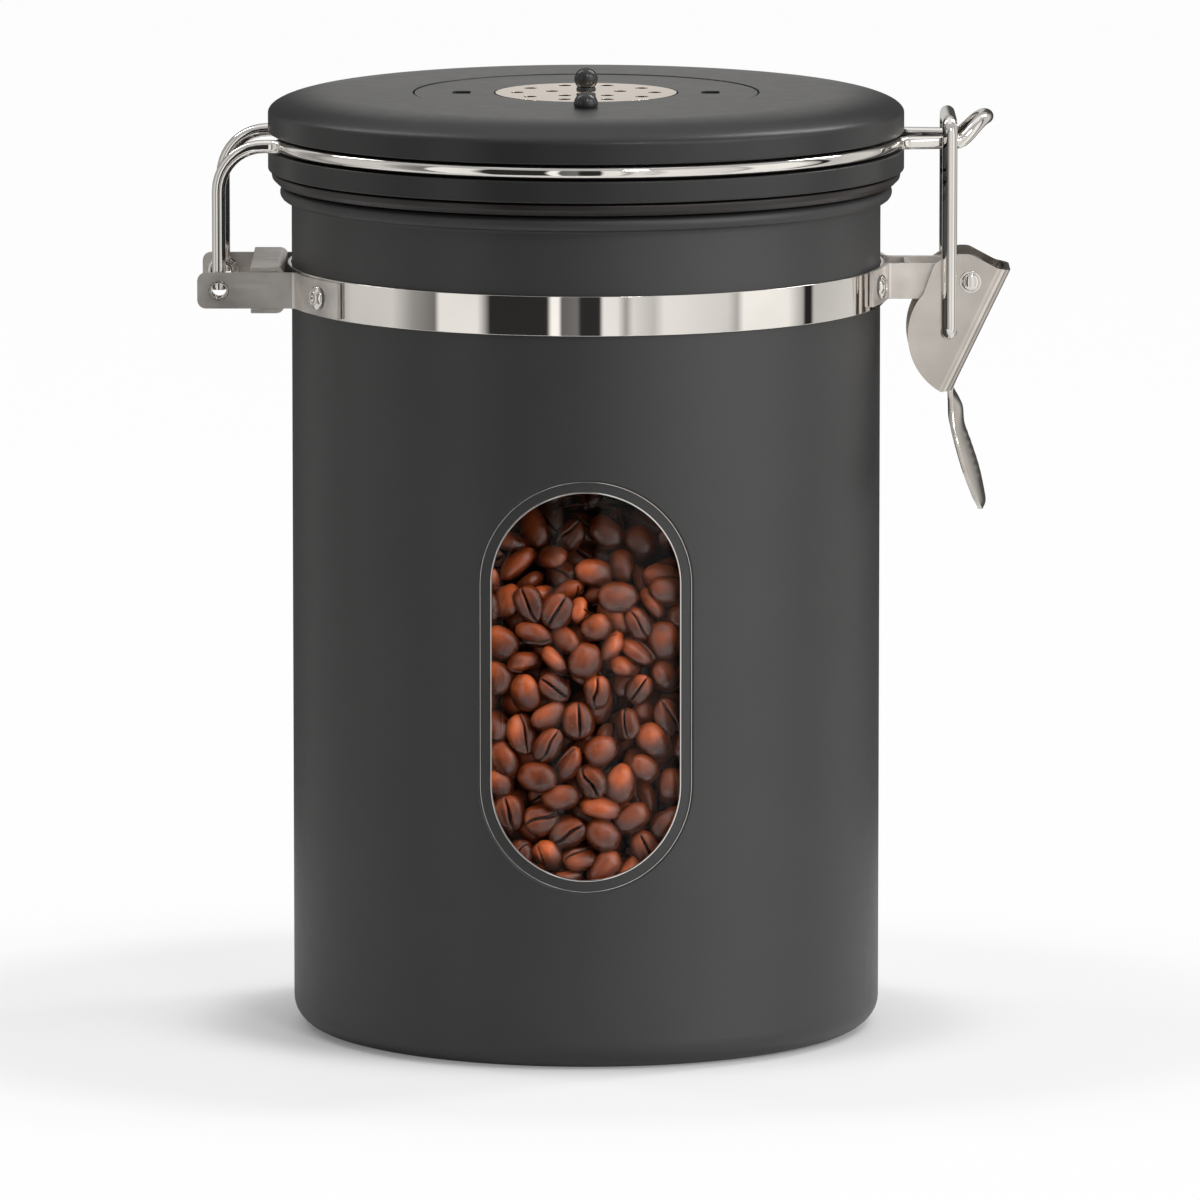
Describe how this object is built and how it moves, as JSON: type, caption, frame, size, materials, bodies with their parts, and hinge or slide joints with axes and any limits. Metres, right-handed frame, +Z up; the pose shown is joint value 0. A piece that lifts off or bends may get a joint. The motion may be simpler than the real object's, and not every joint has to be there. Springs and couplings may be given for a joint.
{
  "type": "coffee canister",
  "caption": "Round steel canister with a clear front window, a lid clamped by a bail wire and over-centre latch, a date dial and a vent disc on top.",
  "frame": {"origin": "centre of the canister's base, on the surface it stands on", "axes": "+Z up along the canister's axis, the window faces -Y, the hinge is at -X and the latch at +X"},
  "size_m": [0.1629, 0.1282, 0.1939],
  "materials": {
    "powder_coat": "matte dark grey powder coat",
    "bright_steel": "polished",
    "black_silicone": "glossy silicone",
    "white_silicone": "translucent white silicone",
    "champagne_metal": "champagne anodised, satin",
    "dark_plastic": "fine satin",
    "pale_plastic": "smooth",
    "clear_plastic": "clear, polished"
  },
  "bodies": {
    "canister": {"body_shell": "powder_coat", "window_pane": "clear_plastic", "window_gasket": "black_silicone", "window_retainer": "bright_steel", "clamp_band": "bright_steel", "hinge_ear_front": "bright_steel", "hinge_ear_back": "bright_steel", "hinge_channel": "bright_steel", "hinge_bush_front": "bright_steel", "hinge_bush_back": "bright_steel", "hinge_rivet_front": "bright_steel", "hinge_rivet_back": "bright_steel", "latch_ear_front": "bright_steel", "latch_ear_back": "bright_steel", "latch_bridge": "bright_steel", "latch_rivet_front": "bright_steel", "latch_rivet_back": "bright_steel", "lever_pin": "bright_steel"},
    "lid": {"lid_shell": "powder_coat", "lid_liner": "dark_plastic", "lid_gasket": "black_silicone", "lid_wire": "bright_steel", "number_ring": "pale_plastic", "valve_seat": "pale_plastic"},
    "day_dial": {"day_dial": "dark_plastic", "day_knob": "dark_plastic"},
    "vent_dial": {"vent_disc": "champagne_metal", "centre_knob": "dark_plastic"},
    "valve_flap": {"valve_flap": "white_silicone"},
    "lever": {"lever": "bright_steel"},
    "pull_wire": {"pull_wire": "bright_steel"}
  },
  "joints": [
    {"name": "lid_hinge", "type": "hinge", "parent": "canister", "child": "lid", "pos_m": [-0.0734, 0, 0.1509], "axis": [0, -1, 0], "range_deg": [0, 110]},
    {"name": "lever_turn", "type": "hinge", "parent": "canister", "child": "lever", "pos_m": [0.0771, 0, 0.1515], "axis": [0, -1, 0], "range_deg": [0, 120]},
    {"name": "pull_wire_swing", "type": "hinge", "parent": "lever", "child": "pull_wire", "pos_m": [0.0728, 0, 0.1414], "axis": [0, -1, 0], "range_deg": [-94, 0]},
    {"name": "day_dial_turn", "type": "hinge", "parent": "lid", "child": "day_dial", "pos_m": [0, 0, 0.18725], "axis": [0, 0, 1], "continuous": true},
    {"name": "vent_dial_turn", "type": "hinge", "parent": "lid", "child": "vent_dial", "pos_m": [0, 0, 0.18805], "axis": [0, 0, 1], "continuous": true},
    {"name": "valve_lift", "type": "slide", "parent": "lid", "child": "valve_flap", "axis": [0, 0, 1], "range_m": [0, 0.0006]}
  ],
  "couplings": [
    {"joint": "pull_wire_swing", "follows": "lever_turn", "ratio": -0.78}
  ]
}
